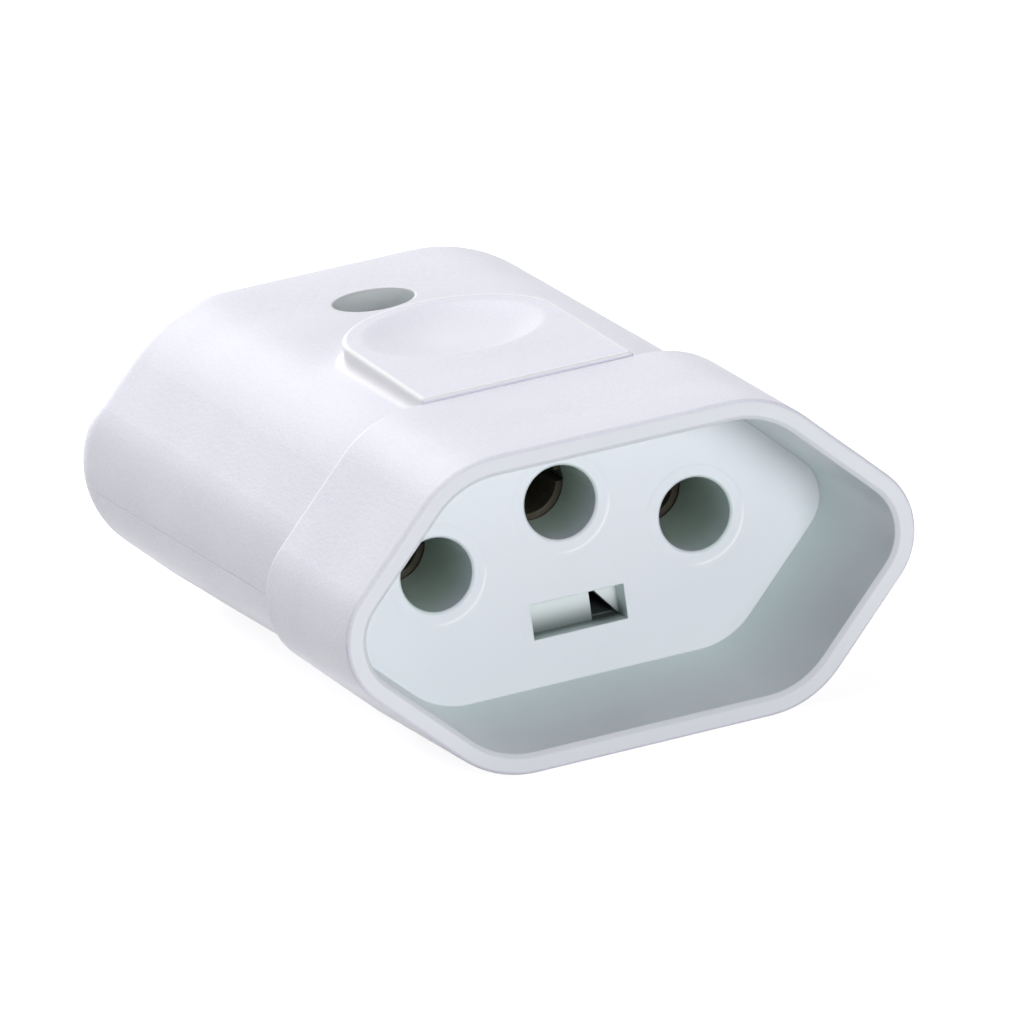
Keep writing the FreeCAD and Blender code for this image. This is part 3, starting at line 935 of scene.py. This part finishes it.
@dataclass
class Housing:
    """The front moulding and the two shells."""

    face: FacePlastic
    shell: ShellPlastic

    def dress(self) -> None:
        """Gives the three mouldings their plastics."""
        nodes = frame["nodes"]
        dress(nodes["front_moulding"], self.face.build())
        plastic = self.shell.build()
        for name in ("upper_shell", "lower_shell"):
            dress(nodes[name], plastic)


@dataclass
class Ways:
    """The three spring contacts and their terminals."""

    brass: DrawnMetal
    names: tuple[str, ...] = ("live", "neutral", "earth")

    def dress(self) -> None:
        """Gives the contacts and terminals their brass."""
        metal = self.brass.build()
        for name in self.names:
            for kind in ("contact", "terminal"):
                dress(frame["nodes"][f"{name}_{kind}"], metal)

    def screw_places(self) -> list[Vector]:
        """Finds where each terminal's screw head sits.

        Returns:
            The middle of each block's top.
        """
        places = []
        for name in self.names:
            low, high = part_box(f"{name}_terminal")
            places.append(Vector(((low.x + high.x) / 2, (low.y + high.y) / 2, high.z)))
        return places


@dataclass
class CordGrip:
    """The bar that holds the cord."""

    plastic: MouldedPlastic

    def dress(self) -> None:
        """Gives the bar its plastic."""
        dress(frame["nodes"]["cord_clamp"], self.plastic.build())


@dataclass
class Fasteners:
    """All the screws, modelled with threads."""

    steel: DrawnMetal
    closing_head_height: float = 2.2 * MM
    closing_shank_radius: float = 1.5 * MM
    closing_pitch: float = 1.1 * MM
    terminal_head_radius: float = 2.5 * MM
    terminal_head_height: float = 1.6 * MM
    terminal_shank_radius: float = 1.6 * MM
    terminal_pitch: float = 0.6 * MM
    clamp_head_radius: float = 2.5 * MM
    clamp_head_height: float = 1.8 * MM
    clamp_shank_radius: float = 1.4 * MM
    clamp_pitch: float = 1.0 * MM

    def build(self, ways: Ways) -> None:
        """Models the screws in the places of the plain ones.

        Args:
            ways: The contacts and terminals, which give the terminal screws' places.
        """
        metal = self.steel.build()
        for screws in (self._closing(), self._terminal(ways), self._clamp()):
            dress(screws.build(), metal)

    def _closing(self) -> ScrewSet:
        """Sizes the screw that draws the shells together.

        Returns:
            The screw.
        """
        low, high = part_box("closing_screw")
        seat = high.z - self.closing_head_height
        return ScrewSet(
            node="closing_screw",
            places=[Vector(((low.x + high.x) / 2, (low.y + high.y) / 2, seat))],
            head_radius=(high.x - low.x) / 2,
            head_height=self.closing_head_height,
            shank_radius=self.closing_shank_radius,
            shank_length=seat - low.z,
            pitch=self.closing_pitch,
        )

    def _terminal(self, ways: Ways) -> ScrewSet:
        """Sizes the three terminal screws.

        Args:
            ways: The contacts and terminals.

        Returns:
            The screws.
        """
        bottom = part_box("terminal_screws")[0].z
        places = ways.screw_places()
        return ScrewSet(
            node="terminal_screws",
            places=places,
            head_radius=self.terminal_head_radius,
            head_height=self.terminal_head_height,
            shank_radius=self.terminal_shank_radius,
            shank_length=min(place.z for place in places) - bottom,
            pitch=self.terminal_pitch,
        )

    def _clamp(self) -> ScrewSet:
        """Sizes the two screws of the cord clamp.

        Returns:
            The screws.
        """
        low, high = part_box("cord_clamp_screws")
        seat = high.z - self.clamp_head_height
        reach = high.x - self.clamp_head_radius
        middle = (low.y + high.y) / 2
        return ScrewSet(
            node="cord_clamp_screws",
            places=[Vector((-reach, middle, seat)), Vector((reach, middle, seat))],
            head_radius=self.clamp_head_radius,
            head_height=self.clamp_head_height,
            shank_radius=self.clamp_shank_radius,
            shank_length=seat - low.z,
            pitch=self.clamp_pitch,
        )


@dataclass
class Lamp:
    """A square soft box that points at the part."""

    name: str
    azimuth: float
    elevation: float
    distance: float
    size: float
    strength: float
    mirrored: bool = True

    def build(self, target: Vector) -> None:
        """Makes the lamp.

        Args:
            target: What it points at.
        """
        data = bpy.data.lights.new(self.name, "AREA")
        data.shape = "SQUARE"
        data.size = self.size
        data.energy = self.strength
        lamp = bpy.data.objects.new(self.name, data)
        lamp.visible_glossy = self.mirrored
        bpy.context.scene.collection.objects.link(lamp)
        back = direction(self.azimuth, self.elevation)
        turn = back.to_track_quat("Z", "Y").to_matrix().to_4x4()
        lamp.matrix_world = Matrix.Translation(target + back * self.distance) @ turn


def direction(azimuth: float, elevation: float) -> Vector:
    """The way from the part to something round it.

    Args:
        azimuth: Degrees from the front, rising towards +X.
        elevation: Degrees above the floor.

    Returns:
        A vector of length 1.
    """
    turn = math.radians(azimuth)
    rise = math.radians(elevation)
    level = math.cos(rise)
    return Vector((math.sin(turn) * level, -math.cos(turn) * level, math.sin(rise)))


def seen_directly(graph: Graph) -> Socket:
    """A mask of the rays that see a surface or its reflection, rather than take light from it.

    Args:
        graph: The graph to put it in.

    Returns:
        The mask.
    """
    rays = graph.add("ShaderNodeLightPath").outputs
    mirrored = graph.sum_up("MAXIMUM", rays["Is Glossy Ray"], rays["Is Transmission Ray"])
    return graph.sum_up("MAXIMUM", rays["Is Camera Ray"], mirrored)


@dataclass
class Studio:
    """The floor, the world, the lamps and the camera."""

    lamps: tuple[Lamp, ...]
    floor_size: float = 6.0
    floor_height: float = -0.02 * MM
    floor_colour: Colour = (0.62, 0.62, 0.625)
    floor_drift: float = 1.02
    floor_fineness: float = 3.0
    floor_roughness: float = 0.9
    floor_glow: float = 0.85
    camera_azimuth: float = -18.503
    camera_elevation: float = 15.327
    camera_roll: float = -8.128
    camera_distance: float = 800.0 * MM
    camera_clip: Span = (0.05, 20.0)
    sensor_width: float = 36.0
    pixels_per_slope: float = 11578.8
    aim_from_rim: float = 25.0 * MM
    aim_right: float = 0.545 * MM
    aim_up: float = -0.026 * MM

    def build(self) -> None:
        """Sets up the whole studio."""
        scene = bpy.context.scene
        scene.view_settings.view_transform = "Standard"
        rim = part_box("front_moulding")[0].y
        aim = Vector((0.0, rim + self.aim_from_rim, RIM_MID_HEIGHT))
        self._world()
        self._floor()
        for lamp in self.lamps:
            lamp.build(aim)
        self._camera(aim)
        LOG.info("set up the studio")

    def _world(self) -> None:
        """A white backdrop for the camera and for reflections, which lights nothing else."""
        world = bpy.data.worlds.new("studio")
        bpy.context.scene.world = world
        world.use_nodes = True
        graph = Graph(world.node_tree)
        world.node_tree.nodes.clear()
        seen = seen_directly(graph)
        unlit = graph.add("ShaderNodeBackground", {"Color": BLACK, "Strength": 0.0})
        white = graph.add("ShaderNodeBackground", {"Color": WHITE, "Strength": 1.0})
        inputs = {0: seen, 1: unlit.outputs[0], 2: white.outputs[0]}
        mix = graph.add("ShaderNodeMixShader", inputs)
        graph.add("ShaderNodeOutputWorld", {"Surface": mix.outputs[0]})

    def _floor(self) -> None:
        """A pale floor that keeps the part's shadow."""
        let_go()
        middle = (0.0, 0.0, self.floor_height)
        bpy.ops.mesh.primitive_plane_add(size=self.floor_size, location=middle)
        floor = bpy.context.object
        floor.name = "floor"
        material, graph, shader, place = start_material("pale_floor")
        drift = graph.group(Effect.DRIFT, {"Vector": place, "Fineness": self.floor_fineness})
        paler = tuple(part * self.floor_drift for part in self.floor_colour)
        tone = graph.blend(drift.outputs["Tone"], self.floor_colour, paler)
        graph.feed(shader.inputs["Base Color"], tone)
        shader.inputs["Roughness"].default_value = self.floor_roughness
        shader.inputs["Specular IOR Level"].default_value = 0.0
        glow = graph.add("ShaderNodeEmission", {"Color": WHITE, "Strength": self.floor_glow})
        both = graph.add("ShaderNodeAddShader", {0: shader.outputs[0], 1: glow.outputs[0]})
        inputs = {0: seen_directly(graph), 1: shader.outputs[0], 2: both.outputs[0]}
        mix = graph.add("ShaderNodeMixShader", inputs)
        out = material.node_tree.nodes["Material Output"]
        graph.feed(out.inputs["Surface"], mix.outputs[0])
        floor.data.materials.append(material)

    def _camera(self, aim: Vector) -> None:
        """The camera at the photograph's angle.

        Args:
            aim: The point on the part's middle line that it looks at.
        """
        back = direction(self.camera_azimuth, self.camera_elevation)
        level = Vector(UP).cross(back).normalized()
        upright = back.cross(level)
        roll = math.radians(self.camera_roll)
        right = level * math.cos(roll) + upright * math.sin(roll)
        up = upright * math.cos(roll) - level * math.sin(roll)
        centre = aim + right * self.aim_right + up * self.aim_up
        data = bpy.data.cameras.new("camera")
        data.sensor_width = self.sensor_width
        data.lens = self.pixels_per_slope / IMAGE_PIXELS * self.sensor_width
        data.clip_start, data.clip_end = self.camera_clip
        camera = bpy.data.objects.new("camera", data)
        bpy.context.scene.collection.objects.link(camera)
        axes = Matrix((right, up, back)).transposed().to_4x4()
        camera.matrix_world = Matrix.Translation(centre + back * self.camera_distance) @ axes
        bpy.context.scene.camera = camera


def shell_finish() -> ShellPlastic:
    """The satin plastic of the shells and of the collar's outside.

    Returns:
        The finish.
    """
    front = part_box("upper_shell")[0].y
    return ShellPlastic(
        name="satin_plastic",
        colour=(0.81, 0.81, 0.903),
        shade=(0.75, 0.75, 0.85),
        roughness=0.42,
        grain=0.22 * MM,
        grain_height=0.016 * MM,
        edge_radius=0.4 * MM,
        # Painted highlights on the edges, seam and pad.
        edge_highlight=(0.95, 0.95, 0.985),
        joint_place=front,
        joint_height=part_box("front_moulding")[1].z + 0.12 * MM,
        # Painted shade in the joint below the pad's lip.
        painted_joint_shade=(0.76, 0.76, 0.85),
        seam_height=RIM_MID_HEIGHT - 0.6 * MM,
        pad_width=7.75 * MM,
        pad_length=14.5 * MM,
        pad_height=21.0 * MM,
        # A painted sheen in the middle of the dimple.
        dimple_sheen_place=front + 16.0 * MM,
        dimple_sheen_radius=5.2 * MM,
        dimple_sheen=0.45,
        screw_place=sum(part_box("closing_screw"), Vector()) / 2,
        recess_radius=2.95 * MM,
        # Painted light in the screw's recess.
        painted_recess_light=(0.92, 0.955, 0.97),
    )


def face_finish(satin: ShellPlastic) -> FacePlastic:
    """The smooth plastic of the plug recess and the socket face.

    Args:
        satin: The finish of the collar's outside.

    Returns:
        The finish.
    """
    low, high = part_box("front_moulding")
    mounts = frame["record"]["mounts"]
    return FacePlastic(
        name="face_plastic",
        outside=satin,
        colour=(0.79, 0.82, 0.87),
        shade=(0.78, 0.81, 0.86),
        # Painted shade on the recess's inner walls.
        painted_wall_shade=(0.72, 0.815, 0.80),
        # Painted shade in the holes.
        painted_bore_shade=(0.69, 0.80, 0.74),
        roughness=0.3,
        ripple=2.0 * MM,
        ripple_height=0.002 * MM,
        edge_radius=0.15 * MM,
        face_place=low.y + RECESS_DEPTH,
        oval_width=OVAL_SHARE * (high.x - low.x),
        oval_height=OVAL_SHARE * (high.z - low.z),
        holes=tuple(Vector(mount["pos_m"]) for mount in mounts if mount["kind"] == "bore"),
        land_radius=3.5 * MM,
        land_depth=0.03 * MM,
        # Painted highlights round the holes.
        painted_land_highlight=(0.93, 0.95, 0.98),
        slot_top=RIM_MID_HEIGHT - 4.1 * MM,
        slot_bottom=RIM_MID_HEIGHT - 5.9 * MM,
        slot_depth=1.7 * MM,
        # Painted shade in the slot.
        painted_slot_shade=(0.15, 0.185, 0.18),
    )


def clamp_finish() -> MouldedPlastic:
    """The plain plastic of the cord clamp.

    Returns:
        The finish.
    """
    return MouldedPlastic(
        name="clamp_plastic",
        colour=(0.70, 0.70, 0.69),
        shade=(0.66, 0.66, 0.65),
        roughness=0.5,
        grain=0.3 * MM,
        grain_height=0.012 * MM,
        edge_radius=0.25 * MM,
    )


def brass_finish() -> DrawnMetal:
    """The brass of the contacts and terminals, painted darker than brass to stand in for the shade
    deep in the holes.

    Returns:
        The finish.
    """
    return DrawnMetal(
        name="pressed_brass",
        # Painted darker than brass, standing in for the shade deep in the holes.
        colour=(0.12, 0.11, 0.085),
        shade=(0.09, 0.08, 0.06),
        roughness=0.7,
        scratch=0.2 * MM,
        scratch_height=0.004 * MM,
        stretch=(1.0, 0.15, 1.0),
        edge_radius=0.12 * MM,
        metallic=0.3,
    )


def zinc_finish() -> DrawnMetal:
    """The zinc plate of the screws.

    Returns:
        The finish.
    """
    return DrawnMetal(
        name="zinc_plate",
        colour=(0.50, 0.50, 0.49),
        shade=(0.44, 0.45, 0.46),
        roughness=0.42,
        scratch=0.15 * MM,
        scratch_height=0.003 * MM,
        stretch=(1.0, 1.0, 0.2),
        edge_radius=0.1 * MM,
    )


def soft_boxes() -> tuple[Lamp, ...]:
    """The studio's lamps: azimuth, elevation, distance, size and strength of each.

    Returns:
        The lamps.
    """
    return (
        Lamp("front_box", 3.0, 7.0, 1.0, 0.3, 6.4, mirrored=False),
        Lamp("top_box", -150.0, 62.0, 0.9, 0.8, 6.8),
        Lamp("left_box", -95.0, 38.0, 1.0, 0.6, 0.7),
        Lamp("over_box", 0.0, 85.0, 1.0, 0.8, 1.0),
        Lamp("rear_box", 176.0, 32.0, 1.0, 0.9, 1.0),
        Lamp("rear_low", 180.0, 9.0, 1.2, 0.4, 1.7),
    )


def main() -> None:
    """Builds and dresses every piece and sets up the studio."""
    logging.basicConfig(level=logging.INFO, format="%(name)s: %(message)s")
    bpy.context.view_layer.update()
    SharedEffects().build()
    satin = shell_finish()
    Housing(face_finish(satin), satin).dress()
    ways = Ways(brass_finish())
    ways.dress()
    Fasteners(zinc_finish()).build(ways)
    CordGrip(clamp_finish()).dress()
    Studio(soft_boxes()).build()


if __name__ == "__main__":
    main()
